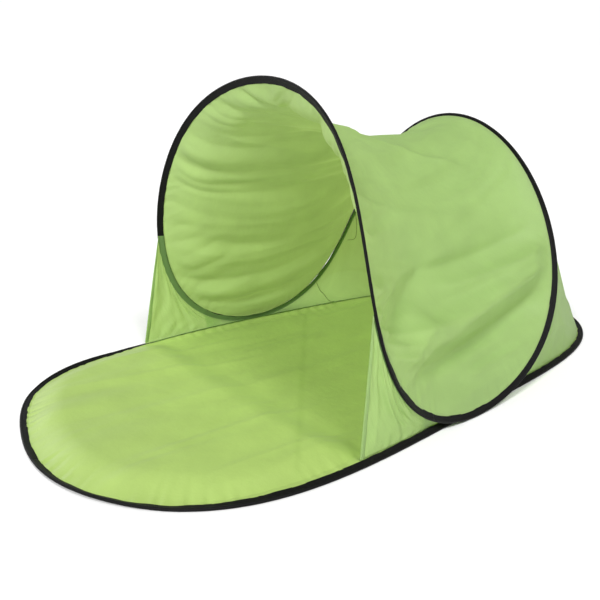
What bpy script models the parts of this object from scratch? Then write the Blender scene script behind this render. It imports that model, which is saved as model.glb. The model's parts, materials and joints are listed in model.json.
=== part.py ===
"""Pop up tent: two sprung wire loops in black binding, with green cloth stretched between them.

Metres, Z up, ground at z = 0. The open front looks towards -Y and the tent is symmetric about x = 0.
One bent hoop makes the front arch, both sides and the rear arch. A second loop lies on the ground.
"""
import math

import bmesh
import bpy
import numpy as np
from mathutils import Vector

for old in list(bpy.data.objects):
    bpy.data.objects.remove(old, do_unlink=True)

# The hoop as measured stations: angle round the loop, half width, y, height of the wire's centre.
# -90 degrees is the top of the front arch, 0 the fold point low on the side, 90 the top of the rear arch.
HOOP_STATIONS = (
    (-90, 0.000, -0.280, 0.880),
    (-60, 0.330, -0.320, 0.755),
    (-30, 0.495, -0.350, 0.400),
    (0, 0.520, -0.150, 0.050),
    (30, 0.500, 0.275, 0.074),
    (60, 0.393, 0.461, 0.460),
    (90, 0.000, 0.475, 0.740),
)
ROOF_LIFT = 0.30                # how far the cloth roof stands above a free soap film at its middle
ROOF_REAR_LIFT = 0.25           # and further above it towards the rear arch

FLOOR_HALF_LENGTH = 0.995
FLOOR_HALF_WIDTH = 0.553
FLOOR_EGG = 0.18                # the floor is wider at the front than at the rear
FLOOR_SQUARE = 0.060            # and its sides are flatter than an ellipse

WIRE_RADIUS = 0.0018
FERRULE_RADIUS = 0.0029
FERRULE_BORE = 0.0021
FERRULE_LENGTH = 0.040
BORE_RADIUS = 0.0034            # sleeve sewn into the binding, round the wire
BEAD_RADIUS = 0.0042            # outside of the binding round the wire
TAIL_LENGTH = 0.0160            # flat part of the binding, from the wire's centre to its sewn edge
TAIL_THICKNESS = 0.0018
FLOOR_TILT_SIDES = 54.0         # the floor's binding leans inward, standing up at this angle in degrees
FLOOR_TILT_ENDS = 15.0          # and lies flatter at the rounded ends
# Rings of the floor's cloth: distance inside the wire, share of the full puff
FLOOR_RINGS = ((0.0050, 0.0), (0.0240, 0.0), (0.0600, 0.75), (0.1000, 1.0), (0.2100, 0.6), (0.3300, 0.0))
FLOOR_PUFF = 0.030              # the loose cloth of the floor's front end stands this high near its edge
FLOOR_PUFF_Y = (-0.33, -0.45)   # from flat to full puff
CLOTH = 0.0012
GAP = 0.0008
CLOTH_CLEARANCE = 0.0032        # cloth to the hoop's bead
SPLIT_GAP = 0.0005
FOLD_CLEARANCE = 0.009          # each half of the hoop stops this far from the fold axis

HOOP_STEPS_FRONT = 28
HOOP_STEPS_REAR = 36
FLOOR_STEPS_FRONT = 26
FLOOR_STEPS_REAR = 34
CANOPY_RINGS = (0.93, 0.84, 0.72, 0.58, 0.42, 0.24)
WALL_ROWS = 3

SKIRT_HOOP = (-28.0, -4.0)      # the skirt hangs from this stretch of the hoop, in degrees
SKIRT_FLOOR_Y = (-0.395, -0.165)
WALL_HOOP = 22.0                # the rear wall starts here on each side and runs over the rear arch
WALL_FLOOR_Y = 0.165
SEAM_REACH = 0.0192             # wall cloth meets the floor binding's sewn edge, this far from the wire
HEM_WIDTH = 0.012

CORD_RADIUS = 0.0011
# A thin cord hanging from the left side of the rear arch, and one with its end tied to the rear wall
ARCH_CORD = (
    (-0.416, 0.4290, 0.3680),
    (-0.419, 0.4420, 0.306),
    (-0.420, 0.436, 0.2575),
    (-0.420, 0.396, 0.256),
)
WALL_CORD = (
    (-0.474, 0.287, 0.110),
    (-0.466, 0.293, 0.090),
    (-0.457, 0.300, 0.068),
    (-0.452, 0.311, 0.056),
    (-0.445, 0.318, 0.042),
    (-0.438, 0.328, 0.028),
    (-0.428, 0.345, 0.0235),
)


def yz_terms(angle, radius):
    """Waves symmetric about x = 0; each fades towards the middle of the loop like a stretched film."""
    return [radius ** n * (math.sin(n * angle) if n % 2 else math.cos(n * angle)) for n in range(7)]


def x_terms(angle, radius):
    return [radius ** n * (math.cos(n * angle) if n % 2 else math.sin(n * angle)) for n in range(1, 6)]


def fit_hoop():
    """Wave amounts that carry the hoop smoothly through every station."""
    angles = [math.radians(row[0]) for row in HOOP_STATIONS]
    table = np.array(HOOP_STATIONS)
    yz_matrix = np.array([yz_terms(a, 1.0) for a in angles])
    x_matrix = np.array([x_terms(a, 1.0) for a in angles[1:-1]])
    return (
        np.linalg.solve(x_matrix, table[1:-1, 1]),
        np.linalg.solve(yz_matrix, table[:, 2]),
        np.linalg.solve(yz_matrix, table[:, 3]),
    )


HOOP_X, HOOP_Y, HOOP_Z = fit_hoop()


def hoop_point(angle, radius=1.0):
    """Point of the hoop, or of the film stretched inside it where radius is under 1."""
    x = float(np.dot(HOOP_X, x_terms(angle, radius)))
    yz = yz_terms(angle, radius)
    return Vector((x, float(np.dot(HOOP_Y, yz)), float(np.dot(HOOP_Z, yz))))


def canopy_point(angle, radius):
    inside = max(0.0, 1.0 - radius * radius)
    rear = max(0.0, radius * math.sin(angle))
    lift = ROOF_LIFT * inside ** 1.5 + ROOF_REAR_LIFT * inside * rear ** 2
    return hoop_point(angle, radius) + Vector((0, 0, lift))


def floor_point(angle):
    x = FLOOR_HALF_WIDTH * math.cos(angle) * (1 - FLOOR_EGG * math.sin(angle))
    x -= FLOOR_SQUARE * math.cos(3 * angle)
    return Vector((x, FLOOR_HALF_LENGTH * math.sin(angle), BEAD_RADIUS))


def floor_angle(y):
    return math.asin(y / FLOOR_HALF_LENGTH)


def tangent(curve, angle):
    step = 1e-4
    return (curve(angle + step) - curve(angle - step)).normalized()


def hoop_inward(angle):
    along = tangent(hoop_point, angle)
    inward = hoop_point(angle, 0.99) - hoop_point(angle)
    return (inward - along * inward.dot(along)).normalized()


def floor_inward(angle):
    return Vector((0, 0, 1)).cross(tangent(floor_point, angle))


def floor_tilt(angle):
    side = math.cos(angle) ** 4
    return math.radians(FLOOR_TILT_ENDS + (FLOOR_TILT_SIDES - FLOOR_TILT_ENDS) * side)


FOLD = Vector((0, hoop_point(0).y, hoop_point(0).z))
FOLD_SPEED = (hoop_point(0.001) - hoop_point(-0.001)).length / 0.002
FOLD_ANGLE = FOLD_CLEARANCE / FOLD_SPEED
FLOOR_SPLIT = floor_angle(FOLD.y)


def spaced(start, stop, steps):
    return [start + (stop - start) * i / steps for i in range(steps + 1)]


HOOP_FRONT = spaced(FOLD_ANGLE - math.pi, -FOLD_ANGLE, HOOP_STEPS_FRONT)
HOOP_REAR = spaced(FOLD_ANGLE, math.pi - FOLD_ANGLE, HOOP_STEPS_REAR)


def material(name, colour, roughness, metallic=0.0):
    mat = bpy.data.materials.new(name)
    mat.use_nodes = True
    shader = mat.node_tree.nodes["Principled BSDF"]
    shader.inputs["Base Color"].default_value = (*colour, 1.0)
    shader.inputs["Roughness"].default_value = roughness
    shader.inputs["Metallic"].default_value = metallic
    return mat


def finish(name, vertices, faces, mat, origin, smooth):
    """One closed, outward-facing mesh object whose origin is the given point."""
    mesh = bpy.data.meshes.new(name)
    mesh.from_pydata([Vector(v) - origin for v in vertices], [], faces)
    bm = bmesh.new()
    bm.from_mesh(mesh)
    bmesh.ops.recalc_face_normals(bm, faces=bm.faces)
    bm.to_mesh(mesh)
    bm.free()
    mesh.materials.append(mat)
    if smooth:
        mesh.shade_smooth()
        mesh.set_sharp_from_angle(angle=math.radians(40))
    obj = bpy.data.objects.new(name, mesh)
    obj.location = origin
    bpy.context.collection.objects.link(obj)
    return obj


def tube(name, mat, origin, rings, bore=None):
    """Loft closed rings into a tube; with a bore, the ends are left open round it."""
    count = len(rings[0])
    vertices = [v for ring in rings for v in ring]
    faces = []
    last = (len(rings) - 1) * count
    for row in range(len(rings) - 1):
        for i in range(count):
            j = (i + 1) % count
            a = row * count
            faces.append((a + i, a + j, a + count + j, a + count + i))
    if bore is None:
        faces.append(tuple(range(count)))
        faces.append(tuple(last + i for i in range(count)))
        return finish(name, vertices, faces, mat, origin, smooth=True)
    inner = len(vertices)
    vertices += [v for ring in bore for v in ring]
    for row in range(len(bore) - 1):
        for i in range(count):
            j = (i + 1) % count
            a = inner + row * count
            faces.append((a + i, a + j, a + count + j, a + count + i))
    for end in (0, last):
        for i in range(count):
            j = (i + 1) % count
            faces.append((end + i, end + j, inner + end + j, inner + end + i))
    return finish(name, vertices, faces, mat, origin, smooth=True)


def circle(radius, count, start=0.0):
    return [(radius * math.cos(start + 2 * math.pi * i / count),
             radius * math.sin(start + 2 * math.pi * i / count)) for i in range(count)]


def binding_profile():
    """Round bead over the wire with a flat sewn tail; u runs along the tail, v across it."""
    half = TAIL_THICKNESS / 2
    bead = [(BEAD_RADIUS * math.cos(math.radians(a)), BEAD_RADIUS * math.sin(math.radians(a)))
            for a in range(36, 325, 36)]
    return [(TAIL_LENGTH, half)] + bead + [(TAIL_LENGTH, -half)]


def level(angle):
    return 0.0


def sweep(curve, inward, angles, profile, tilt=level):
    rings = []
    for angle in angles:
        centre = curve(angle)
        u_axis = inward(angle)
        v_axis = tangent(curve, angle).cross(u_axis)
        c, s = math.cos(tilt(angle)), math.sin(tilt(angle))
        u_axis, v_axis = u_axis * c + v_axis * s, v_axis * c - u_axis * s
        rings.append([centre + u_axis * u + v_axis * v for u, v in profile])
    return rings


def binding(name, mat, origin, curve, inward, angles, tilt=level):
    profile = binding_profile()
    hole = circle(BORE_RADIUS, len(profile), start=math.pi / len(profile))
    return tube(name, mat, origin, sweep(curve, inward, angles, profile, tilt),
                bore=sweep(curve, inward, angles, hole, tilt))


def rod(name, mat, origin, curve, inward, angles, radius, sides=6):
    return tube(name, mat, origin, sweep(curve, inward, angles, circle(radius, sides)))


def ferrule(name, mat, origin, start, end):
    """Crimped sleeve that joins the two ends of a wire, halfway between two points of the wire."""
    along = (end - start).normalized()
    across = along.orthogonal().normalized()
    other = along.cross(across)
    ends = [(start + end) / 2 + along * (sign * FERRULE_LENGTH / 2) for sign in (-1, 1)]
    outside, hole = (
        [[centre + across * u + other * v for u, v in circle(radius, 10)] for centre in ends]
        for radius in (FERRULE_RADIUS, FERRULE_BORE)
    )
    return tube(name, mat, origin, outside, bore=hole)


def cloth(name, mat, origin, vertices, faces, thickness=CLOTH, on_ground=False):
    """Thicken a surface into a closed sheet of cloth."""
    bm = bmesh.new()
    made = [bm.verts.new(v) for v in vertices]
    for face in faces:
        bm.faces.new([made[i] for i in face])
    bmesh.ops.triangulate(bm, faces=bm.faces)
    bm.normal_update()
    count = len(made)
    if on_ground:
        low = [v.co.copy() for v in made]
        high = [v.co + Vector((0, 0, thickness)) for v in made]
    else:
        low = [v.co - v.normal * (thickness / 2) for v in made]
        high = [v.co + v.normal * (thickness / 2) for v in made]
    bm.verts.index_update()
    upper = [tuple(v.index for v in face.verts) for face in bm.faces]
    solid = upper + [tuple(i + count for i in reversed(face)) for face in upper]
    for edge in bm.edges:
        if edge.is_boundary:
            a, b = (v.index for v in edge.verts)
            solid.append((a, b, b + count, a + count))
    bm.free()
    return finish(name, low + high, solid, mat, origin, smooth=True)


def grid_faces(rows, columns, closed=False):
    faces = []
    for row in range(rows - 1):
        for i in range(columns if closed else columns - 1):
            j = (i + 1) % columns
            a = row * columns
            faces.append((a + i, a + j, a + columns + j, a + columns + i))
    return faces


def canopy(mat, origin):
    """Roof and both sides in one piece, stretched over the whole hoop."""
    angles = sorted(HOOP_FRONT + HOOP_REAR + [0.0, math.pi])
    reach = TAIL_LENGTH + GAP
    vertices = [hoop_point(a) + hoop_inward(a) * reach for a in angles]
    for radius in CANOPY_RINGS:
        vertices += [canopy_point(a, radius) for a in angles]
    faces = grid_faces(len(CANOPY_RINGS) + 1, len(angles), closed=True)
    centre = len(vertices)
    vertices.append(canopy_point(0.0, 0.0))
    last = len(CANOPY_RINGS) * len(angles)
    for i in range(len(angles)):
        faces.append((last + i, last + (i + 1) % len(angles), centre))
    return cloth("canopy", mat, origin, vertices, faces)


def floor_puff(y):
    start, full = FLOOR_PUFF_Y
    k = min(1.0, max(0.0, (y - start) / (full - start)))
    return FLOOR_PUFF * k * k * (3 - 2 * k)


def floor_sheet(name, mat, origin, angles, gap):
    """Half of the floor, from its rounded end to the fold line across the tent."""
    rings = []
    for inside, share in FLOOR_RINGS:
        ring = [floor_point(a) + floor_inward(a) * inside for a in angles]
        for point in ring:
            point.z = share * floor_puff(point.y)
        ring[0].y = ring[-1].y = FOLD.y + gap
        rings.append(ring)
    count = len(angles)
    vertices = [point for ring in rings for point in ring]
    faces = grid_faces(len(rings), count)
    first = (len(rings) - 1) * count
    last = first + count - 1
    for i in range(count // 2 - 1):
        faces.append((first + i, first + i + 1, last - i - 1, last - i))
    middle = count // 2
    faces.append((first + middle - 1, first + middle, first + middle + 1))
    return cloth(name, mat, origin, vertices, faces, on_ground=True)


def seam_point(angle):
    """Where wall cloth meets the sewn edge of the floor binding."""
    lean = floor_tilt(angle)
    inward = floor_inward(angle) * math.cos(lean)
    return floor_point(angle) + (inward + Vector((0, 0, math.sin(lean)))) * SEAM_REACH


def hang(angle, foot):
    """Top and foot of a cloth line from the hoop to the floor, with the top just clear of the bead."""
    top = hoop_point(angle)
    down = (foot - top).normalized()
    slant = down.cross(tangent(hoop_point, angle)).length
    return top + down * ((BEAD_RADIUS + CLOTH_CLEARANCE) / slant), foot


def skirt_rows(side):
    angles = [math.radians(a) for a in spaced(SKIRT_HOOP[0], SKIRT_HOOP[1], 6)]
    feet = spaced(SKIRT_FLOOR_Y[0], SKIRT_FLOOR_Y[1], 6)
    rows = [hang(angle, seam_point(floor_angle(y))) for angle, y in zip(angles, feet)]
    return [[Vector((side * p.x, p.y, p.z)) for p in row] for row in rows]


def hem_line(rows, width):
    """Line parallel to the skirt's free front edge, this far back along the skirt."""
    top, foot = rows[0]
    edge = (foot - top).normalized()
    along_hoop = (rows[1][0] - top).normalized()
    along_floor = (rows[1][1] - foot).normalized()
    return (
        top + along_hoop * (width / edge.cross(along_hoop).length),
        foot + along_floor * (width / edge.cross(along_floor).length),
    )


def skirt(name, mat, origin, side):
    """Short side panel from the front arch down to the floor."""
    rows = skirt_rows(side)
    rows[0] = hem_line(rows, HEM_WIDTH + GAP)
    vertices = [top for top, foot in rows]
    vertices += [(top + foot) / 2 for top, foot in rows]
    vertices += [foot for top, foot in rows]
    return cloth(name, mat, origin, vertices, grid_faces(3, len(rows)))


def skirt_hem(name, mat, origin, side):
    """Folded hem along the skirt's free front edge."""
    rows = skirt_rows(side)
    top, foot = rows[0]
    back_top, back_foot = hem_line(rows, HEM_WIDTH)
    return cloth(name, mat, origin, [top, foot, back_foot, back_top], [(0, 1, 2, 3)], thickness=1.5 * CLOTH)


def rear_wall(mat, origin):
    """Rear panel from the rear arch down to the rounded rear end of the floor."""
    first = math.radians(WALL_HOOP)
    angles = [a for a in HOOP_REAR if first <= a <= math.pi - first]
    foot_first = floor_angle(WALL_FLOOR_Y)
    foot_span = (math.pi - 2 * foot_first) / (angles[-1] - angles[0])
    rows = []
    for angle in angles:
        foot = seam_point(foot_first + (angle - angles[0]) * foot_span)
        rows.append(hang(angle, foot))
    vertices = []
    for row in range(WALL_ROWS + 1):
        share = row / WALL_ROWS
        vertices += [top.lerp(foot, share) for top, foot in rows]
    return cloth("rear_wall", mat, origin, vertices, grid_faces(WALL_ROWS + 1, len(rows)))


def cord(name, mat, origin, points, radius=CORD_RADIUS):
    """Free cord as a bevelled polyline."""
    data = bpy.data.curves.new(name, "CURVE")
    data.dimensions = "3D"
    data.bevel_depth = radius
    data.bevel_resolution = 2
    data.use_fill_caps = True
    spline = data.splines.new("POLY")
    spline.points.add(len(points) - 1)
    for target, point in zip(spline.points, points):
        target.co = (*(point - origin), 1.0)
    data.materials.append(mat)
    obj = bpy.data.objects.new(name, data)
    obj.location = origin
    bpy.context.collection.objects.link(obj)
    return obj


def smooth_path(knots, step=0.005):
    """Evenly spaced points on a soft curve through the knots."""
    knots = [Vector(k) for k in knots]
    padded = [2 * knots[0] - knots[1]] + knots + [2 * knots[-1] - knots[-2]]
    fine = []
    for p, q, r, s in zip(padded, padded[1:], padded[2:], padded[3:]):
        for i in range(20):
            k = i / 20
            fine.append(0.5 * (2 * q + (r - p) * k + (2 * p - 5 * q + 4 * r - s) * k * k
                               + (3 * q - p - 3 * r + s) * k ** 3))
    fine.append(knots[-1])
    points = [fine[0]]
    for point in fine:
        if (point - points[-1]).length >= step:
            points.append(point)
    return points


GREEN = material("green_cloth", (0.30, 0.52, 0.14), 0.75)
HEM = material("green_hem", (0.33, 0.55, 0.16), 0.75)
TAPE = material("black_binding", (0.012, 0.012, 0.013), 0.7)
STEEL = material("spring_steel", (0.55, 0.55, 0.56), 0.35, metallic=1.0)
SLEEVE = material("ferrule_metal", (0.75, 0.76, 0.78), 0.3, metallic=1.0)
STRING = material("tie_cord", (0.16, 0.30, 0.06), 0.8)

GROUND = Vector((0, 0, 0))
RECESS = 0.003
FLOOR_TRIM = 0.0003
FRONT_FLOOR = spaced(-math.pi - FLOOR_SPLIT + FLOOR_TRIM, FLOOR_SPLIT - FLOOR_TRIM, FLOOR_STEPS_FRONT)
REAR_FLOOR = spaced(FLOOR_SPLIT + FLOOR_TRIM, math.pi - FLOOR_SPLIT - FLOOR_TRIM, FLOOR_STEPS_REAR)


def trimmed(angles):
    return [angles[0] + RECESS] + angles[1:-1] + [angles[-1] - RECESS]


# Front half of the floor: stays on the ground
binding("floor_binding_front", TAPE, GROUND, floor_point, floor_inward, FRONT_FLOOR, tilt=floor_tilt)
rod("floor_wire_front", STEEL, GROUND, floor_point, floor_inward, trimmed(FRONT_FLOOR), WIRE_RADIUS)
floor_sheet("floor_sheet_front", GREEN, GROUND, FRONT_FLOOR, gap=-SPLIT_GAP / 2)
for side_name, sign in (("left", -1), ("right", 1)):
    skirt("skirt_" + side_name, GREEN, GROUND, sign)
    skirt_hem("skirt_hem_" + side_name, HEM, GROUND, sign)

# Front arch: turns about the fold axis
binding("arch_binding_front", TAPE, FOLD, hoop_point, hoop_inward, HOOP_FRONT)
rod("arch_wire_front", STEEL, FOLD, hoop_point, hoop_inward, trimmed(HOOP_FRONT), WIRE_RADIUS)

# Rear shell: rear arch, rear wall, canopy and the rear half of the floor turn together
binding("arch_binding_rear", TAPE, FOLD, hoop_point, hoop_inward, HOOP_REAR)
rod("arch_wire_rear", STEEL, FOLD, hoop_point, hoop_inward, trimmed(HOOP_REAR), WIRE_RADIUS)
binding("floor_binding_rear", TAPE, FOLD, floor_point, floor_inward, REAR_FLOOR, tilt=floor_tilt)
rod("floor_wire_rear", STEEL, FOLD, floor_point, floor_inward, trimmed(REAR_FLOOR), WIRE_RADIUS)
floor_sheet("floor_sheet_rear", GREEN, FOLD, REAR_FLOOR, gap=SPLIT_GAP / 2)
canopy(GREEN, FOLD)
rear_wall(GREEN, FOLD)
hoop_joint = HOOP_REAR[HOOP_STEPS_REAR // 2 + 6:][:2]
floor_joint = REAR_FLOOR[FLOOR_STEPS_REAR // 2:][:2]
ferrule("arch_ferrule", SLEEVE, FOLD, *[hoop_point(a) for a in hoop_joint])
ferrule("floor_ferrule", SLEEVE, FOLD, *[floor_point(a) for a in floor_joint])
cord("arch_cord", STRING, FOLD, smooth_path(ARCH_CORD))
cord("wall_cord", STRING, FOLD, smooth_path(WALL_CORD))
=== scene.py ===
"""Looks of the pop up tent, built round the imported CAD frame. Metres, Z up, front towards -Y."""
import json
import math

import bmesh
import bpy
import numpy as np
from mathutils import Matrix, Vector
from mathutils.kdtree import KDTree


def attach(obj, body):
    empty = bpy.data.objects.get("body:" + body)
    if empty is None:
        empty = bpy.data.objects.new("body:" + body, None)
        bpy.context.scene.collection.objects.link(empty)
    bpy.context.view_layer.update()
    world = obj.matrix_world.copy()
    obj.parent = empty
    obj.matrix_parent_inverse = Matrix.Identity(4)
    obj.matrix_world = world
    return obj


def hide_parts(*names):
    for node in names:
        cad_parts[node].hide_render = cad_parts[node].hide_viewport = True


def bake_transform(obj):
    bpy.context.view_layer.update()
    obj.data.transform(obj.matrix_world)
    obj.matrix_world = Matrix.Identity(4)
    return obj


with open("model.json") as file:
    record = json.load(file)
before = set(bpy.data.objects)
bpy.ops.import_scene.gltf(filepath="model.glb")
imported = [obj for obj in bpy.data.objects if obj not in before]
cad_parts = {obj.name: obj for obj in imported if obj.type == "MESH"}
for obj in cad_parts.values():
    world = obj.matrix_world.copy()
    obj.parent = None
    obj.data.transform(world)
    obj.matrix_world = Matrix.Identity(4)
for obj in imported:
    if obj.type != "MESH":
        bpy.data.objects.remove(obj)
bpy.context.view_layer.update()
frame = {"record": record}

# ---------------------------------------------------------------- shape, as in the CAD part
HOOP_STATIONS = np.array((
    (-90, 0.000, -0.280, 0.880),
    (-60, 0.330, -0.320, 0.755),
    (-30, 0.495, -0.350, 0.400),
    (0, 0.520, -0.150, 0.050),
    (30, 0.500, 0.275, 0.074),
    (60, 0.393, 0.461, 0.460),
    (90, 0.000, 0.475, 0.740),
))
ROOF_LIFT = 0.30
ROOF_REAR_LIFT = 0.25
FLOOR_HALF_LENGTH = 0.995
FLOOR_HALF_WIDTH = 0.553
FLOOR_EGG = 0.18
FLOOR_SQUARE = 0.060
BEAD = 0.0042               # binding round the wire
TAIL = 0.0155               # wire's centre to the binding's sewn edge
HOOP_TAIL = 0.0172          # the hoop's tape is a little wider
TILT_ENDS = math.radians(15)    # the floor's binding leans inward, flatter at the rounded ends
TILT_SIDES = math.radians(54)
# where the binding lies flatter still: angle round the loop, spread in degrees, how much
FLATTER = ((-78, 24, math.radians(34)), (-140, 17, math.radians(44)))
SKEW_AT = -93               # the front end is a little longer on one side of here than on the other
SKEW_SPREAD = 14
SKEW = 0.014
PI = math.pi


def terms(t, r, first, odd):
    """Waves round the loop, n-th one scaled by r to the n; odd is the wave for odd n."""
    even = np.sin if odd is np.cos else np.cos
    last = 5 if first else 6
    return [r ** n * (odd(n * t) if n % 2 else even(n * t)) for n in range(first, last + 1)]


def solve(column, first, odd, rows):
    t = np.radians(HOOP_STATIONS[rows, 0])
    matrix = np.array(terms(t, np.ones_like(t), first, odd)).T
    return np.linalg.solve(matrix, HOOP_STATIONS[rows, column])


INNER = slice(1, 6)
ALL = slice(0, 7)
WAVES = (
    (solve(1, 1, np.cos, INNER), 1, np.cos),
    (solve(2, 0, np.sin, ALL), 0, np.sin),
    (solve(3, 0, np.sin, ALL), 0, np.sin),
)


def hoop(t, r=1.0):
    t, r = np.broadcast_arrays(np.asarray(t, float), np.asarray(r, float))
    return np.stack([sum(k * w for k, w in zip(amounts, terms(t, r, first, odd)))
                     for amounts, first, odd in WAVES], -1)


def turned(t, centre):
    """Angle from a point of the floor loop, in degrees, between -180 and 180."""
    return (np.degrees(np.asarray(t, float)) - centre + 180) % 360 - 180


def floor_lean(t):
    """How far the floor's binding leans inward; it lies flatter on both sides of the front end."""
    lean = TILT_ENDS + (TILT_SIDES - TILT_ENDS) * np.cos(t) ** 4
    for centre, spread, amount in FLATTER:
        lean = lean - amount * np.exp(-(turned(t, centre) / spread) ** 2)
    return lean


def floor_loop(t):
    """Centre of the floor's wire; it is lifted where the binding tips outward."""
    t = np.asarray(t, float)
    x = FLOOR_HALF_WIDTH * np.cos(t) * (1 - FLOOR_EGG * np.sin(t)) - FLOOR_SQUARE * np.cos(3 * t)
    bent = turned(t, SKEW_AT) / SKEW_SPREAD
    y = FLOOR_HALF_LENGTH * np.sin(t) - SKEW * bent * np.exp(0.5 - 0.5 * bent ** 2)
    lifted = TAIL * np.maximum(0.0, np.sin(-floor_lean(t)))
    return np.stack([x, y, BEAD + lifted], -1)


def unit(v):
    return v / np.maximum(np.linalg.norm(v, axis=-1, keepdims=True), 1e-12)


def along(curve, t):
    return unit(curve(t + 1e-4) - curve(t - 1e-4))


def hoop_frame(t):
    """Centre of the wire, inward direction in the cloth, and the direction out of the tent."""
    centre, tangent = hoop(t), along(hoop, t)
    inward = hoop(t, 0.99) - centre
    inward = unit(inward - tangent * np.sum(inward * tangent, -1, keepdims=True))
    return centre, inward, np.cross(tangent, inward)


def floor_frame(t):
    """Centre of the wire, direction up the leaning binding, and the direction square to its face."""
    t = np.asarray(t, float)
    tangent = along(floor_loop, t)
    up = np.zeros_like(tangent)
    up[..., 2] = 1
    inward = np.cross(up, tangent)
    lean = floor_lean(t)[..., None]
    return (floor_loop(t), inward * np.cos(lean) + up * np.sin(lean),
            up * np.cos(lean) - inward * np.sin(lean))


FOLD = hoop(0.0)[1:]


# ---------------------------------------------------------------- mesh helpers
def mesh_object(name, points, faces, mat, uv):
    """Smooth mesh with its cloth coordinates, in metres, as the UV map."""
    mesh = bpy.data.meshes.new(name)
    mesh.from_pydata(np.asarray(points).reshape(-1, 3).tolist(), [], faces)
    layer = mesh.uv_layers.new(name="metres")
    index = np.empty(len(mesh.loops), np.int32)
    mesh.loops.foreach_get("vertex_index", index)
    layer.data.foreach_set("uv", np.asarray(uv, np.float32).reshape(-1, 2)[index].ravel())
    mesh.shade_smooth()
    mesh.materials.append(mat)
    obj = bpy.data.objects.new(name, mesh)
    bpy.context.collection.objects.link(obj)
    return obj


def grid_faces(rows, columns, closed=False, flip=False):
    faces = []
    for a in range(rows - 1):
        for b in range(columns if closed else columns - 1):
            c = (b + 1) % columns
            face = (a * columns + b, a * columns + c, (a + 1) * columns + c, (a + 1) * columns + b)
            faces.append(face[::-1] if flip else face)
    return faces


def row_lengths(points):
    """Distance travelled along each row of a grid, and down its columns, as cloth coordinates."""
    across = np.zeros(points.shape[:2])
    across[:, 1:] = np.cumsum(np.linalg.norm(np.diff(points, axis=1), axis=-1), axis=1)
    down = np.zeros(points.shape[:2])
    down[1:] = np.cumsum(np.linalg.norm(np.diff(points, axis=0), axis=-1), axis=0)
    middle = points.shape[1] // 2
    return np.stack([across - across[:, middle:middle + 1], down], -1)


def grid_normals(points, closed=False):
    if closed:
        du = np.roll(points, -1, 1) - np.roll(points, 1, 1)
    else:
        du = np.gradient(points, axis=1)
    return unit(np.cross(du, np.gradient(points, axis=0)))


def ripple(u, v, seed, scales, stretch):
    """Soft random waves: fine across u, long along v. Amplitude about 1."""
    rng = np.random.default_rng(seed)
    total = np.zeros(np.broadcast(u, v).shape)
    weight = 0.0
    for scale in scales:
        for _ in range(4):
            a = rng.uniform(0.75, 1.3) * 2 * PI / scale
            b = rng.uniform(-1.0, 1.0) * 2 * PI / (scale * stretch)
            total = total + np.sin(a * u + b * v + rng.uniform(0, 2 * PI)) * scale
            weight += scale * scale / 2
    return total / math.sqrt(weight)


def fold(u, v, start, end, width, height, bend=0.0):
    """One pulled crease from start to end in (u, v): sharp on one side, soft on the other."""
    start, end = np.array(start, float), np.array(end, float)
    axis = end - start
    length = np.linalg.norm(axis)
    axis /= length
    du, dv = u - start[0], v - start[1]
    s = (du * axis[0] + dv * axis[1]) / length
    d = (-du * axis[1] + dv * axis[0]) - bend * 4 * s * (1 - s)
    taper = np.clip(s * 4, 0, 1) * np.clip((1 - s) * 4, 0, 1)
    taper = taper * taper * (3 - 2 * taper)
    side = np.where(d > 0, d / (width * 0.5), d / width)
    return height * taper * np.exp(-np.sqrt(side ** 2 + 0.06) * 1.4)


# ---------------------------------------------------------------- materials
def nodes_of(name):
    mat = bpy.data.materials.new(name)
    mat.use_nodes = True
    tree = mat.node_tree
    return mat, tree, tree.nodes["Principled BSDF"], tree.nodes["Material Output"]


def add(tree, kind, inputs=(), **settings):
    node = tree.nodes.new(kind)
    for key, value in settings.items():
        setattr(node, key, value)
    for key, value in inputs:
        if hasattr(value, "is_linked"):
            tree.links.new(value, node.inputs[key])
        else:
            node.inputs[key].default_value = value
    return node


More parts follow.
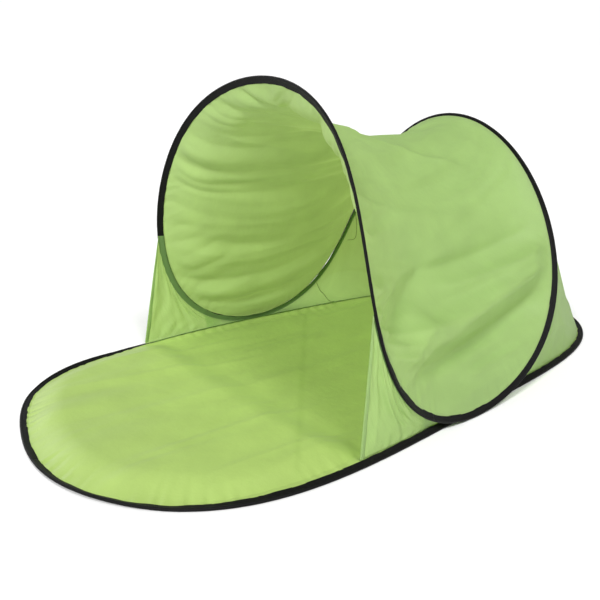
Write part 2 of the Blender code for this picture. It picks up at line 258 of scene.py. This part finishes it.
def cloth_material(name, front, through, share, weave=0.0011):
    """Thin coated polyester: a fine plain weave, faint patches of tone, and light coming through."""
    mat, tree, shader, output = nodes_of(name)
    uv = add(tree, "ShaderNodeUVMap", uv_map="metres").outputs[0]
    blotch = add(tree, "ShaderNodeTexNoise", [("Vector", uv), ("Scale", 11.0), ("Detail", 6.0)])
    fine = add(tree, "ShaderNodeTexNoise", [("Vector", uv), ("Scale", 900.0), ("Detail", 2.0)])
    tone = add(tree, "ShaderNodeMath", [(0, blotch.outputs[0]), (1, fine.outputs[0])], operation="ADD")
    spread = add(tree, "ShaderNodeMapRange",
                 [("Value", tone.outputs[0]), ("From Min", 0.6), ("From Max", 1.4)])

    def shades(colour, reach):
        low = tuple(c * (1 - reach) for c in colour) + (1,)
        high = tuple(min(1.0, c * (1 + reach)) for c in colour) + (1,)
        mix = add(tree, "ShaderNodeMix", [(0, spread.outputs[0])], data_type="RGBA")
        mix.inputs[6].default_value = low
        mix.inputs[7].default_value = high
        return mix.outputs[2]

    threads = []
    for direction in ("X", "Y"):
        wave = add(tree, "ShaderNodeTexWave", [("Vector", uv), ("Scale", 1 / (weave * 2 * PI)),
                                               ("Distortion", 0.6)],
                   wave_type="BANDS", bands_direction=direction)
        threads.append(wave.outputs["Fac"])
    woven = add(tree, "ShaderNodeMath", [(0, threads[0]), (1, threads[1])], operation="MULTIPLY")
    crumple = add(tree, "ShaderNodeTexNoise", [("Vector", uv), ("Scale", 45.0), ("Detail", 4.0)])
    fine_bump = add(tree, "ShaderNodeBump",
                    [("Height", woven.outputs[0]), ("Strength", 0.25), ("Distance", 0.0002)])
    bump = add(tree, "ShaderNodeBump", [("Height", crumple.outputs[0]), ("Strength", 0.5),
                                        ("Distance", 0.0022), ("Normal", fine_bump.outputs[0])])
    tree.links.new(shades(front, 0.09), shader.inputs["Base Color"])
    tree.links.new(bump.outputs[0], shader.inputs["Normal"])
    rough = add(tree, "ShaderNodeMapRange", [("Value", blotch.outputs[0]), ("To Min", 0.42),
                                             ("To Max", 0.58)])
    tree.links.new(rough.outputs[0], shader.inputs["Roughness"])
    shader.inputs["Specular IOR Level"].default_value = 0.35
    shader.inputs["Sheen Weight"].default_value = 0.05
    shader.inputs["Sheen Roughness"].default_value = 0.5
    glow = add(tree, "ShaderNodeBsdfTranslucent",
               [("Color", shades(through, 0.10)), ("Normal", bump.outputs[0])])
    mix = add(tree, "ShaderNodeMixShader", [(0, share), (1, shader.outputs[0]), (2, glow.outputs[0])])
    tree.links.new(mix.outputs[0], output.inputs["Surface"])
    return mat


def tape_material():
    """Black woven binding tape: ribs across it, slight grey bloom, dull sheen."""
    mat, tree, shader, output = nodes_of("binding_tape")
    uv = add(tree, "ShaderNodeUVMap", uv_map="metres").outputs[0]
    rib = add(tree, "ShaderNodeTexWave", [("Vector", uv), ("Scale", 1 / (0.0012 * 2 * PI)),
                                          ("Distortion", 0.8)], wave_type="BANDS", bands_direction="X")
    fuzz = add(tree, "ShaderNodeTexNoise", [("Vector", uv), ("Scale", 60.0), ("Detail", 5.0)])
    ramp = add(tree, "ShaderNodeMix", [(0, fuzz.outputs[0])], data_type="RGBA")
    ramp.inputs[6].default_value = (0.0010, 0.0010, 0.0012, 1)
    ramp.inputs[7].default_value = (0.0040, 0.0040, 0.0040, 1)
    tree.links.new(ramp.outputs[2], shader.inputs["Base Color"])
    height = add(tree, "ShaderNodeMath", [(0, rib.outputs["Fac"]), (1, fuzz.outputs[0])], operation="ADD")
    bump = add(tree, "ShaderNodeBump", [("Height", height.outputs[0]), ("Strength", 0.5),
                                        ("Distance", 0.0004)])
    tree.links.new(bump.outputs[0], shader.inputs["Normal"])
    shader.inputs["Roughness"].default_value = 0.62
    shader.inputs["Specular IOR Level"].default_value = 0.16
    shader.inputs["Sheen Weight"].default_value = 0.02
    shader.inputs["Sheen Roughness"].default_value = 0.4
    return mat


def plain_material(name, colour, roughness, scale):
    mat, tree, shader, output = nodes_of(name)
    place = add(tree, "ShaderNodeTexCoord").outputs["Object"]
    grain = add(tree, "ShaderNodeTexNoise", [("Vector", place), ("Scale", scale), ("Detail", 3.0)])
    mix = add(tree, "ShaderNodeMix", [(0, grain.outputs[0])], data_type="RGBA")
    mix.inputs[6].default_value = tuple(c * 0.8 for c in colour) + (1,)
    mix.inputs[7].default_value = tuple(min(1, c * 1.2) for c in colour) + (1,)
    tree.links.new(mix.outputs[2], shader.inputs["Base Color"])
    bump = add(tree, "ShaderNodeBump", [("Height", grain.outputs[0]), ("Strength", 0.3),
                                        ("Distance", 0.0003)])
    tree.links.new(bump.outputs[0], shader.inputs["Normal"])
    shader.inputs["Roughness"].default_value = roughness
    return mat


CLOTH = cloth_material("tent_cloth", (0.37, 0.53, 0.20), (0.56, 0.76, 0.20), 0.38)
FLOOR_CLOTH = cloth_material("floor_cloth", (0.38, 0.53, 0.14), (0.40, 0.62, 0.08), 0.12)
# seam rolls: real rolled cloth, coloured much darker than the tent cloth as painted shade of the seam's gap
SEAM_CLOTH_SHADED = cloth_material("seam_cloth_painted_shade", (0.10, 0.20, 0.05), (0.08, 0.20, 0.02), 0.20)
# cloth lying on the binding tape: coloured darker as painted shade of the tape behind it
TAPE_SHADE_CLOTH = cloth_material("cloth_with_painted_tape_shade", (0.17, 0.29, 0.10), (0.12, 0.25, 0.05), 0.25)
TAPE = tape_material()
THREAD = plain_material("cord_thread", (0.10, 0.17, 0.03), 0.8, 900.0)


# ---------------------------------------------------------------- binding
def sweep(name, mat, frame_of, angles, profile):
    """Closed loft of a profile (u inward, v out of the tent) along a loop; profile may vary by angle."""
    centre, inward, out = frame_of(angles)
    shape = np.array([profile(a) for a in angles])
    points = centre[:, None] + inward[:, None] * shape[..., :1] + out[:, None] * shape[..., 1:]
    rows, columns = points.shape[:2]
    faces = grid_faces(rows, columns, closed=True)
    faces.append(tuple(range(columns))[::-1])
    faces.append(tuple((rows - 1) * columns + i for i in range(columns)))
    travelled = np.zeros(rows)
    travelled[1:] = np.cumsum(np.linalg.norm(np.diff(centre, axis=0), axis=-1))
    round_it = np.linspace(0, 0.045, columns)
    uv = np.stack(np.broadcast_arrays(travelled[:, None], round_it[None]), -1)
    return mesh_object(name, points, faces, mat, uv)


def tape_profile(seed, width=TAIL):
    """Tape folded over the wire, with a slightly puckered sewn edge."""
    rng = np.random.default_rng(seed)
    phases = rng.uniform(0, 2 * PI, 6)

    def profile(t):
        wobble = (0.5 * math.sin(61 * t + phases[0]) + 0.35 * math.sin(113 * t + phases[1])
                  + 0.3 * math.sin(29 * t + phases[2]))
        swell = 0.4 * math.sin(83 * t + phases[3]) + 0.4 * math.sin(151 * t + phases[4])
        tail = width + 0.0007 * wobble
        bead = BEAD - 0.0002 + 0.00015 * swell
        thick = 0.0010 + 0.0001 * swell
        lean = 0.0007 * math.sin(47 * t + phases[5])
        bends = [math.radians(a) for a in range(40, 321, 20)]
        upper = [(0.0064, 0.0023), (0.0100, 0.0016), (tail - 0.0034, 0.0011), (tail - 0.0027, 0.0007),
                 (tail - 0.0014, thick), (tail, 0.0004)]
        ring = upper[::-1] + [(bead * math.cos(a), bead * math.sin(a)) for a in bends]
        ring += [(u, -v) for u, v in upper]
        return [(u, v + lean * max(0.0, u) / TAIL) for u, v in ring]

    return profile


def cord_profile(u, v, radius, sides=8):
    """Thin round roll of sewn cloth beside the tape."""
    turns = [2 * PI * k / sides for k in range(sides)]
    ring = [(u + radius * math.cos(a), v + radius * math.sin(a)) for a in turns]
    return lambda t: ring


band_front = sweep("hoop_tape_front", TAPE, hoop_frame, np.linspace(-PI, 0, 520),
                   tape_profile(3, HOOP_TAIL))
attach(band_front, "front_arch")
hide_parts("arch_binding_front", "arch_wire_front")

band_rear = sweep("hoop_tape_rear", TAPE, hoop_frame, np.linspace(0, PI, 600),
                  tape_profile(4, HOOP_TAIL))
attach(band_rear, "rear_shell")
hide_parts("arch_binding_rear", "arch_wire_rear", "arch_ferrule")

floor_band = sweep("floor_tape", TAPE, floor_frame, np.linspace(-PI / 2, 1.5 * PI, 1100),
                   tape_profile(5))
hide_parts("floor_binding_front", "floor_binding_rear", "floor_wire_front",
            "floor_wire_rear", "floor_ferrule")
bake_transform(floor_band)


# ---------------------------------------------------------------- canopy
def roof_lift(t, r):
    inside = np.maximum(0.0, 1 - r * r)
    return ROOF_LIFT * inside ** 1.5 + ROOF_REAR_LIFT * inside * np.maximum(0.0, r * np.sin(t)) ** 2


def creases(u, v, seed, pitch, reach):
    """Tension folds: narrow crests pitch apart across u, running along v, that wander, swell and fade."""
    rng = np.random.default_rng(seed)

    def drift(scale_u, scale_v):
        total = 0.0
        for _ in range(4):
            a = rng.uniform(0.6, 1.4) * 2 * PI / scale_u
            b = rng.uniform(-1.4, 1.4) * 2 * PI / scale_v
            total = total + np.sin(a * u + b * v + rng.uniform(0, 2 * PI)) / 2
        return total

    phase = PI * (u / pitch + 0.30 * drift(5 * pitch, reach))
    crest = 1 - np.sqrt(np.sin(phase) ** 2 + 0.008)
    return (crest - 0.36) * np.clip(0.6 + 0.55 * drift(5 * pitch, reach), 0, 1.6)


def smooth(k):
    k = np.clip(k, 0, 1)
    return k * k * (3 - 2 * k)


# Folds pulled across each side of the roof: start and end on the loop's disc as (share of the half
# width, front to rear), half width of the crest in metres, height in metres
NEAR_FOLDS = (
    ((0.86, -0.24), (0.57, 0.84), 0.046, 0.020),
    ((0.91, -0.10), (0.62, 0.80), 0.034, -0.012),
    ((0.91, 0.00), (0.70, 0.66), 0.030, 0.012),
    ((0.70, 0.00), (0.54, 0.88), 0.036, 0.014),
    ((0.66, -0.06), (0.49, 0.80), 0.032, -0.010),
    ((0.90, 0.14), (0.78, 0.56), 0.026, 0.010),
    ((0.58, 0.12), (0.88, -0.34), 0.060, -0.016),
    ((0.74, 0.02), (0.95, -0.22), 0.040, 0.012),
    ((0.04, -0.20), (0.30, 0.66), 0.030, 0.009),
    ((0.56, -0.70), (0.44, 0.62), 0.045, 0.010),
    ((0.46, -0.70), (0.30, 0.80), 0.050, -0.008),
)
FAR_FOLDS = (
    ((0.80, -0.30), (0.57, 0.80), 0.050, 0.018),
    ((0.88, -0.44), (0.54, 0.74), 0.040, -0.012),
    ((0.88, -0.24), (0.66, 0.54), 0.036, 0.011),
    ((0.62, -0.54), (0.38, 0.54), 0.050, 0.014),
    ((0.30, -0.70), (0.16, 0.20), 0.050, 0.014),
    ((0.42, -0.66), (0.26, 0.20), 0.045, -0.011),
    ((0.99, -0.02), (0.84, 0.28), 0.022, 0.009),
    ((0.99, 0.08), (0.89, 0.44), 0.022, 0.009),
    ((0.97, -0.14), (0.80, 0.18), 0.024, -0.008),
)
HALF_SPAN = 0.42


def girth(wide):
    """Metres of cloth from the roof's middle line down the side, for a share of the half width."""
    r = np.linspace(0, 1, 120)
    side = hoop(np.zeros_like(r), r)
    side[:, 2] += roof_lift(np.zeros_like(r), r)
    run = np.zeros(len(r))
    run[1:] = np.cumsum(np.linalg.norm(np.diff(side, axis=0), axis=-1))
    return np.interp(wide, r, run)


def canopy_folds(t, r):
    """Height of the creases and soft waves, out of the tent, over the loop's disc."""
    x, y = r * np.cos(t), r * np.sin(t)
    u, v = girth(np.abs(x)), y * HALF_SPAN
    slant = u + 0.65 * v
    total = 0.0
    for side, seed, folds in ((1, 11, NEAR_FOLDS), (-1, 51, FAR_FOLDS)):
        part = 0.0150 * creases(slant, v, seed, 0.140, 1.2)
        part = part + 0.0040 * creases(slant, v, seed + 1, 0.055, 0.6)
        corner = smooth((u - 0.55) * 5) * smooth((0.04 - v) * 10)
        part = part + 0.0080 * corner * creases(u + 2.0 * v, v, seed + 2, 0.10, 0.8)
        part = part + 0.0020 * ripple(slant, v, seed + 3, (0.30, 0.18), 3.0)
        for (x0, y0), (x1, y1), width, size in folds:
            start, end = (girth(x0), y0 * HALF_SPAN), (girth(x1), y1 * HALF_SPAN)
            part = part + 1.2 * fold(u, v, start, end, width, size)
        strength = 1 + 0.9 * smooth((u - 0.25) * 4) if side > 0 else 1
        total = total + strength * part * smooth(0.5 + side * x / 0.16)
    return total * smooth((1 - r) * 9)


def pucker(s, depth, seed, pitch=0.040, height=0.0016):
    """Gathers along a sewn edge: s runs along the seam, depth is the distance from it, both in metres."""
    rng = np.random.default_rng(seed)
    phases = rng.uniform(0, 2 * PI, 4)
    wander = 0.7 * np.sin(2 * PI * s / 0.31 + phases[0]) + 0.6 * np.sin(2 * PI * s / 0.19 + phases[1])
    swell = 0.6 + 0.4 * np.sin(2 * PI * s / 0.43 + phases[2])
    wave = np.sin(2 * PI * s / pitch + 1.6 * wander) + 0.4 * np.sin(2 * PI * s / (0.57 * pitch) + phases[3])
    return height * swell * wave * np.exp(-depth / 0.030) * (1 - np.exp(-depth / 0.004))


def build_canopy():
    columns, rings = 720, 104
    t = np.linspace(-PI / 2, 1.5 * PI, columns, endpoint=False)
    centre, inward, out = hoop_frame(t)
    speed = np.sum((hoop(t, 0.99) - centre) * inward, -1) / 0.01
    edge = 1 - (TAIL - 0.002) / speed
    share = np.maximum(0.004, 1 - np.linspace(0, 1, rings)[:, None] ** 1.3)
    r = edge[None] * share
    t_grid = np.broadcast_to(t[None], r.shape)
    points = hoop(t_grid, r)
    points[..., 2] += roof_lift(t_grid, r)
    normals = -grid_normals(points, closed=True)
    up = np.sign(np.sum(normals * (points - np.array([0, 0.1, 0.25])), -1))
    if up.mean() < 0:
        normals = -normals
    travelled = np.cumsum(np.linalg.norm(centre - np.roll(centre, 1, 0), axis=-1))
    depth = (edge[None] - r) * speed[None]
    piping = 0.0013 * np.exp(-((depth - 0.0050) / 0.0022) ** 2)
    height = canopy_folds(t_grid, r) + pucker(travelled[None], depth, 61) + piping
    points = points + normals * height[..., None]
    middle = points[-1].mean(0)
    x, y = (r * np.cos(t_grid)), (r * np.sin(t_grid))
    uv = np.stack([x * 0.75, y * 0.55], -1).reshape(-1, 2)
    verts = np.concatenate([points.reshape(-1, 3), middle[None]])
    uv = np.concatenate([uv, [[0, 0]]])
    faces = grid_faces(rings, columns, closed=True)
    last = (rings - 1) * columns
    faces += [(last + i, last + (i + 1) % columns, len(verts) - 1) for i in range(columns)]
    obj = mesh_object("canopy_cloth", verts, faces, CLOTH, uv)
    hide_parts("canopy")
    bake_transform(obj)
    share_rear = 0.5 + np.arctan2(2 * y, np.maximum(1 - r * r, 1e-9)) / PI
    weight = FOLD_RATIO + (1 - FOLD_RATIO) * share_rear
    weight = np.append(weight.ravel(), FOLD_RATIO + (1 - FOLD_RATIO) * 0.5)
    return obj


COUPLINGS = frame["record"]["behaviour"]["couplings"]
FOLD_RATIO = COUPLINGS[0]["ratio"]
canopy = build_canopy()


# ---------------------------------------------------------------- walls down to the floor
LAP = math.radians(2.2)             # skirt and rear wall each run this far past the fold line
SEAM_STOP = math.radians(3.5)       # the rolled seams stop short of it
HOOP_SEAM = cord_profile(TAIL + 0.0012, -0.0012, 0.0014)
SKIRT_FRONT = math.radians(28)
SKIRT_FRONT_Y = -0.395
WALL_TURN = math.radians(22)        # up to here the wall's foot lies straight below its head
WALL_TURN_Y = 0.165


def floor_turn(y):
    return np.arcsin(np.asarray(y) / FLOOR_HALF_LENGTH)


def hung_cloth(t_hoop, t_floor, middle_rows):
    """Rows of cloth from the hoop's tape to the floor's tape, and each row's share of the way down."""
    centre, inward, out = hoop_frame(t_hoop)
    head = [centre + inward * u - out * v
            for u, v in ((TAIL + 0.0014, 0.0002), (TAIL - 0.002, 0.0022), (0.0068, 0.0042), (0.0, 0.0058))]
    centre, tail, face = floor_frame(t_floor)
    foot = [centre + tail * u + face * v
            for u, v in ((TAIL + 0.0020, 0.0014), (TAIL + 0.0024, -0.0010), (TAIL - 0.0010, -0.0026))]
    share = np.linspace(0, 1, middle_rows + 2)[1:-1]
    ease = share[:, None, None]
    body = head[-1][None] * (1 - ease) + foot[0][None] * ease
    points = np.concatenate([np.array(head), body, np.array(foot)])
    return points, np.concatenate([np.zeros(len(head)), share, np.ones(len(foot))])


def shade_rows(obj, columns, rows):
    """The first rows lie on the black tape and are given a darker cloth, painted shade of the tape behind
    them.
    """
    obj.data.materials.append(TAPE_SHADE_CLOTH)
    index = np.zeros(len(obj.data.polygons), np.int32)
    index[:(columns - 1) * rows] = 1
    obj.data.polygons.foreach_set("material_index", index)


def wall_folds(angle, share):
    waves = 0.0100 * creases(angle, share, 21, 0.30, 2.5) + 0.0036 * creases(angle, share, 22, 0.12, 1.5)
    waves = waves + 0.0020 * ripple(angle, share, 23, (0.45, 0.25), 2.0)
    for start, end, width, size in WALL_FOLDS:
        waves = waves + fold(angle, share, start, end, width, size)
    return waves


# start and end as (angle round the rear arch, share of the way down), width, height
WALL_FOLDS = (
    ((0.62, 0.00), (0.95, 0.9), 0.05, 0.010),
    ((0.80, 0.25), (1.30, 1.0), 0.06, -0.009),
    ((1.05, 0.05), (1.15, 0.95), 0.05, 0.009),
    ((1.60, 0.05), (1.50, 0.9), 0.07, 0.010),
    ((2.10, 0.10), (1.95, 0.95), 0.05, 0.009),
    ((2.55, 0.00), (2.25, 0.9), 0.05, 0.010),
)


def wall_object():
    columns = 520
    t = np.linspace(-LAP, PI + LAP, columns)
    half = np.minimum(t, PI - t)
    near = floor_turn(np.interp(half, (-LAP, WALL_TURN), (hoop(-LAP)[1], WALL_TURN_Y)))
    turn = floor_turn(WALL_TURN_Y)
    far = turn + (half - WALL_TURN) * (PI / 2 - turn) / (PI / 2 - WALL_TURN)
    t_floor = np.where(half < WALL_TURN, near, far)
    t_floor = np.where(t > PI / 2, PI - t_floor, t_floor)
    points, shares = hung_cloth(t, t_floor, 64)
    normals = grid_normals(points)
    outward = np.sign(np.sum(normals[30] * (points[30] - np.array([0, 0.3, 0.2])), -1)).mean()
    normals = normals * outward
    belly = np.sin(PI * shares)[:, None]
    length = np.linalg.norm(points[-1] - points[0], axis=-1)[None]
    angle = t[None] * np.ones_like(belly)
    sag = -0.018 * np.sin(angle) ** 4 * belly
    calm = np.minimum(1, belly * 1.8) * smooth((length - 0.04) / 0.25)
    travelled = row_lengths(points)[..., 0]
    depth = np.minimum(shares, 1 - shares)[:, None] * length
    lift = sag + wall_folds(angle, shares[:, None]) * calm
    lift = lift + pucker(travelled, depth, 62) * smooth((length - 0.03) / 0.1)
    points = points + normals * lift[..., None]
    uv = row_lengths(points)
    obj = mesh_object("rear_wall_cloth", points, grid_faces(len(points), columns), CLOTH, uv)
    shade_rows(obj, columns, 4)
    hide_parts("rear_wall")
    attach(obj, "rear_shell")
    return obj


rear_wall = wall_object()


def mirrored(points, side):
    points = points.copy()
    points[..., 0] *= side
    return points


def blend_skirt(obj):
    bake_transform(obj)


def skirt_object(side, which, seed):
    columns, middle_rows = 90, 56
    t = np.linspace(-SKIRT_FRONT, LAP, columns)
    front_y = SKIRT_FRONT_Y - (0.017 if side < 0 else 0.0)
    t_floor = floor_turn(np.linspace(front_y, hoop(LAP)[1], columns))
    points, shares = hung_cloth(t, t_floor, middle_rows)
    normals = grid_normals(points)
    if normals[..., 0].mean() < 0:
        normals = -normals
    belly = np.sin(PI * shares)[:, None]
    span = row_lengths(points)[..., 0]
    span = span - span[:, :1]
    length = np.linalg.norm(points[-1] - points[0], axis=-1)[None]
    waves = 0.0070 * creases(span, shares[:, None], seed, 0.055, 2.0)
    waves = waves + 0.0020 * ripple(span, shares[:, None], seed + 1, (0.12, 0.05), 5.0)
    calm = np.minimum(1, belly * 1.8) * smooth((length - 0.02) / 0.15) * smooth((span + 0.01) / 0.04)
    depth = np.minimum(shares, 1 - shares)[:, None] * length
    lift = waves * calm + pucker(span, depth, seed + 2) * smooth((length - 0.03) / 0.1)
    points = mirrored(points + normals * lift[..., None], side)
    rows = len(points)
    cloth = mesh_object("skirt_cloth_" + which, points, grid_faces(rows, columns, flip=side < 0), CLOTH,
                        row_lengths(points))
    shade_rows(cloth, columns, 4)
    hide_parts("skirt_" + which)
    blend_skirt(cloth)

    edge = points[3:-2, :2]
    back = unit(edge[:, 1] - edge[:, 0])
    strip = np.stack([edge[:, 0] + back * u for u in (-0.0012, 0.0020, 0.0055, 0.0090, 0.0118)], 1)
    out = np.array([side, 0.0, 0.0])
    rounding = np.array([0.0006, 0.0014, 0.0013, 0.0012, 0.0007])[None, :, None]
    ring = np.concatenate([strip + out * rounding, (strip - out * rounding)[:, ::-1]], 1)
    faces = grid_faces(len(ring), ring.shape[1], closed=True, flip=side < 0)
    hem = mesh_object("skirt_edge_" + which, ring, faces, CLOTH, row_lengths(ring))
    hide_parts("skirt_hem_" + which)
    blend_skirt(hem)

    roll = sweep("skirt_seam_" + which, SEAM_CLOTH_SHADED, hoop_frame, t[t < -SEAM_STOP], HOOP_SEAM)
    if side < 0:
        roll.data.transform(Matrix.Scale(-1, 4, (1, 0, 0)))
        roll.data.flip_normals()
    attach(roll, "front_arch")
    return cloth, hem


skirts = [skirt_object(1, "right", 31), skirt_object(-1, "left", 41)]

rear_seam = sweep("rear_wall_seam", SEAM_CLOTH_SHADED, hoop_frame, np.linspace(SEAM_STOP, PI - SEAM_STOP, 400),
                  HOOP_SEAM)
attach(rear_seam, "rear_shell")

skirt_turn = float(floor_turn(SKIRT_FRONT_Y))
floor_seam = sweep("floor_seam", SEAM_CLOTH_SHADED, floor_frame, np.linspace(skirt_turn, PI - skirt_turn, 520),
                   cord_profile(TAIL + 0.0034, -0.0008, 0.0011))
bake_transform(floor_seam)


# ---------------------------------------------------------------- floor sheet
FLOOR_CREASE = ((-0.25, 0.06), (0.41, -0.50))      # line pressed in by folding, across the sheet
CREASE_WIDTH = 0.006
CREASE_DEPTH = 0.0016
CREASE_STEP = 0.0012

# start and end in metres, width, height
FLOOR_FOLDS = (
    ((-0.30, -0.85), (-0.18, -0.10), 0.035, 0.0070),
    ((-0.05, -0.90), (-0.02, -0.05), 0.040, 0.0060),
    ((0.18, -0.88), (0.20, -0.20), 0.035, 0.0070),
    ((0.36, -0.75), (0.38, -0.25), 0.030, 0.0060),
    ((-0.42, -0.70), (-0.36, -0.05), 0.030, 0.0060),
)


def floor_sewn(t):
    """Line where the floor sheet is sewn into its binding."""
    centre, tail, face = floor_frame(t)
    return centre + tail * (TAIL - 0.0015)


def floor_object():
    rows, columns = 380, 170
    t = np.linspace(-PI / 2 + 0.004, PI / 2 - 0.004, rows)
    right, left = (floor_sewn(turn)[:, None, :2] for turn in (t, PI - t))
    k = np.sin(np.linspace(-1, 1, columns) * PI / 2 * 0.94) / math.sin(PI / 2 * 0.94)
    share = ((k + 1) / 2)[None, :, None]
    plan = left * (1 - share) + right * share
    x, y = plan[..., 0], plan[..., 1]
    depth, travelled, rim = edge_distance(x, y)
    waves = 0.0030 * creases(x, y, 41, 0.13, 1.6) + 0.0012 * creases(x, y, 42, 0.06, 0.7)
    waves = waves + 0.0014 * ripple(x, y, 43, (0.26, 0.17), 3.0)
    for start, end, width, size in FLOOR_FOLDS:
        waves = waves + fold(x, y, start, end, width, size)
    (ax, ay), (bx, by) = FLOOR_CREASE
    length = math.hypot(bx - ax, by - ay)
    off = ((x - ax) * (by - ay) - (y - ay) * (bx - ax)) / length
    pressed = -CREASE_DEPTH * np.exp(-(off / CREASE_WIDTH) ** 2)
    pressed = pressed + CREASE_STEP * np.tanh(off / CREASE_WIDTH) * np.exp(-(off / 0.05) ** 2)
    lying = np.maximum(0.0042 + waves + pressed, 0.0004) * smooth(depth / 0.06)
    front = smooth((-0.33 - y) / 0.12)
    puff = front * smooth((depth + 0.03) / 0.13) * (0.019 + 0.010 * smooth((0.40 - depth) / 0.30))
    rest = rim * np.exp(-(depth / (0.020 + 0.040 * front)) ** 1.2)
    z = 0.0006 + lying + np.maximum(rest, puff) + pucker(travelled, depth, 63, height=0.0026)
    points = np.stack([x, y, np.maximum(z, 0.0005)], -1)
    obj = mesh_object("floor_cloth_sheet", points, grid_faces(rows, columns), FLOOR_CLOTH,
                      np.stack([x, y], -1))
    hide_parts("floor_sheet_front", "floor_sheet_rear")
    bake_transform(obj)
    return obj


def edge_distance(x, y):
    """Distance from the floor cloth's sewn edge, distance run along that edge, and the edge's height."""
    line = floor_sewn(np.linspace(-PI / 2, 1.5 * PI, 1500))
    run = np.cumsum(np.linalg.norm(np.diff(line, axis=0, prepend=line[:1]), axis=-1))
    tree = KDTree(len(line))
    for index, point in enumerate(line):
        tree.insert((point[0], point[1], 0), index)
    tree.balance()
    found = [tree.find((a, b, 0)) for a, b in zip(x.ravel(), y.ravel())]
    nearest = np.array([hit[1] for hit in found])
    depth = np.array([hit[2] for hit in found]).reshape(x.shape)
    return depth, run[nearest].reshape(x.shape), line[nearest, 2].reshape(x.shape)


floor_sheet = floor_object()


# ---------------------------------------------------------------- cords
def cord_path(knots, step=0.005):
    knots = [np.array(k, float) for k in knots]
    padded = [2 * knots[0] - knots[1]] + knots + [2 * knots[-1] - knots[-2]]
    fine = []
    for p, q, r, s in zip(padded, padded[1:], padded[2:], padded[3:]):
        for k in np.linspace(0, 1, 20, endpoint=False):
            fine.append(0.5 * (2 * q + (r - p) * k + (2 * p - 5 * q + 4 * r - s) * k * k
                               + (3 * q - p - 3 * r + s) * k ** 3))
    fine.append(knots[-1])
    points = [fine[0]]
    for point in fine:
        if np.linalg.norm(point - points[-1]) >= step:
            points.append(point)
    return points


def cord_object(name, node, knots):
    points = cord_path(knots)
    curve = bpy.data.curves.new(name, "CURVE")
    curve.dimensions = "3D"
    curve.bevel_depth = 0.0009
    curve.bevel_resolution = 3
    curve.use_fill_caps = True
    spline = curve.splines.new("POLY")
    spline.points.add(len(points) - 1)
    for target, point in zip(spline.points, points):
        target.co = (*point, 1.0)
    curve.materials.append(THREAD)
    obj = bpy.data.objects.new(name, curve)
    bpy.context.collection.objects.link(obj)
    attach(obj, "rear_shell")
    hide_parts(node)
    return obj


cord_object("arch_cord_thread", "arch_cord", (
    (-0.416, 0.4290, 0.3680),
    (-0.419, 0.4420, 0.306),
    (-0.420, 0.436, 0.2575),
    (-0.420, 0.396, 0.256),
))
cord_object("wall_cord_thread", "wall_cord", (
    (-0.474, 0.287, 0.110),
    (-0.466, 0.293, 0.090),
    (-0.457, 0.300, 0.068),
    (-0.452, 0.311, 0.056),
    (-0.445, 0.318, 0.042),
    (-0.438, 0.328, 0.028),
    (-0.428, 0.345, 0.0235),
))


# ---------------------------------------------------------------- stage, light and camera
def stage():
    mat, tree, shader, output = nodes_of("studio_floor")
    shader.inputs["Base Color"].default_value = (0.93, 0.93, 0.93, 1)
    shader.inputs["Roughness"].default_value = 0.9
    bm = bmesh.new()
    bmesh.ops.create_circle(bm, cap_ends=True, segments=64, radius=60.0)
    mesh = bpy.data.meshes.new("studio_floor")
    bm.to_mesh(mesh)
    bm.free()
    mesh.materials.append(mat)
    obj = bpy.data.objects.new("studio_floor", mesh)
    obj.location = (0, 0, -0.0006)
    bpy.context.collection.objects.link(obj)


def soft_light(direction, strength, width):
    data = bpy.data.lights.new("softbox", "SUN")
    data.energy = strength
    data.angle = math.radians(width)
    obj = bpy.data.objects.new("softbox", data)
    obj.rotation_euler = Vector(direction).to_track_quat("Z", "Y").to_euler()
    bpy.context.collection.objects.link(obj)


def sky(low, high):
    """White at the horizon and dimmer above, so the light has a direction."""
    world = bpy.data.worlds.new("studio")
    world.use_nodes = True
    tree = world.node_tree
    place = add(tree, "ShaderNodeTexCoord").outputs["Generated"]
    split = add(tree, "ShaderNodeSeparateXYZ", [(0, place)])
    level = add(tree, "ShaderNodeMapRange", [("Value", split.outputs["Z"]), ("From Min", 0.08),
                                             ("From Max", 0.14), ("To Min", low), ("To Max", high)])
    background = tree.nodes["Background"]
    background.inputs[0].default_value = (1, 1, 1, 1)
    tree.links.new(level.outputs[0], background.inputs[1])
    bpy.context.scene.world = world


stage()
soft_light((0.62, -0.10, 0.78), 1.5, 20)
soft_light((0.30, -0.70, 0.62), 2.4, 12)
soft_light((-0.90, -0.10, 0.40), 0.8, 30)
sky(1.02, 0.28)
bpy.context.scene.view_settings.view_transform = "Standard"

CAMERA_AT = Vector((1.784, -1.608, 0.993))
CAMERA_AZIMUTH = math.radians(51.09)
CAMERA_ELEVATION = math.radians(18.09)
camera = bpy.data.cameras.new("camera")
camera.sensor_width = 36
camera.lens = 49.3
camera_object = bpy.data.objects.new("camera", camera)
camera_object.location = CAMERA_AT
view = Vector((-math.sin(CAMERA_AZIMUTH) * math.cos(CAMERA_ELEVATION),
               math.cos(CAMERA_AZIMUTH) * math.cos(CAMERA_ELEVATION), -math.sin(CAMERA_ELEVATION)))
camera_object.rotation_euler = view.to_track_quat("-Z", "Y").to_euler()
bpy.context.collection.objects.link(camera_object)
bpy.context.scene.camera = camera_object
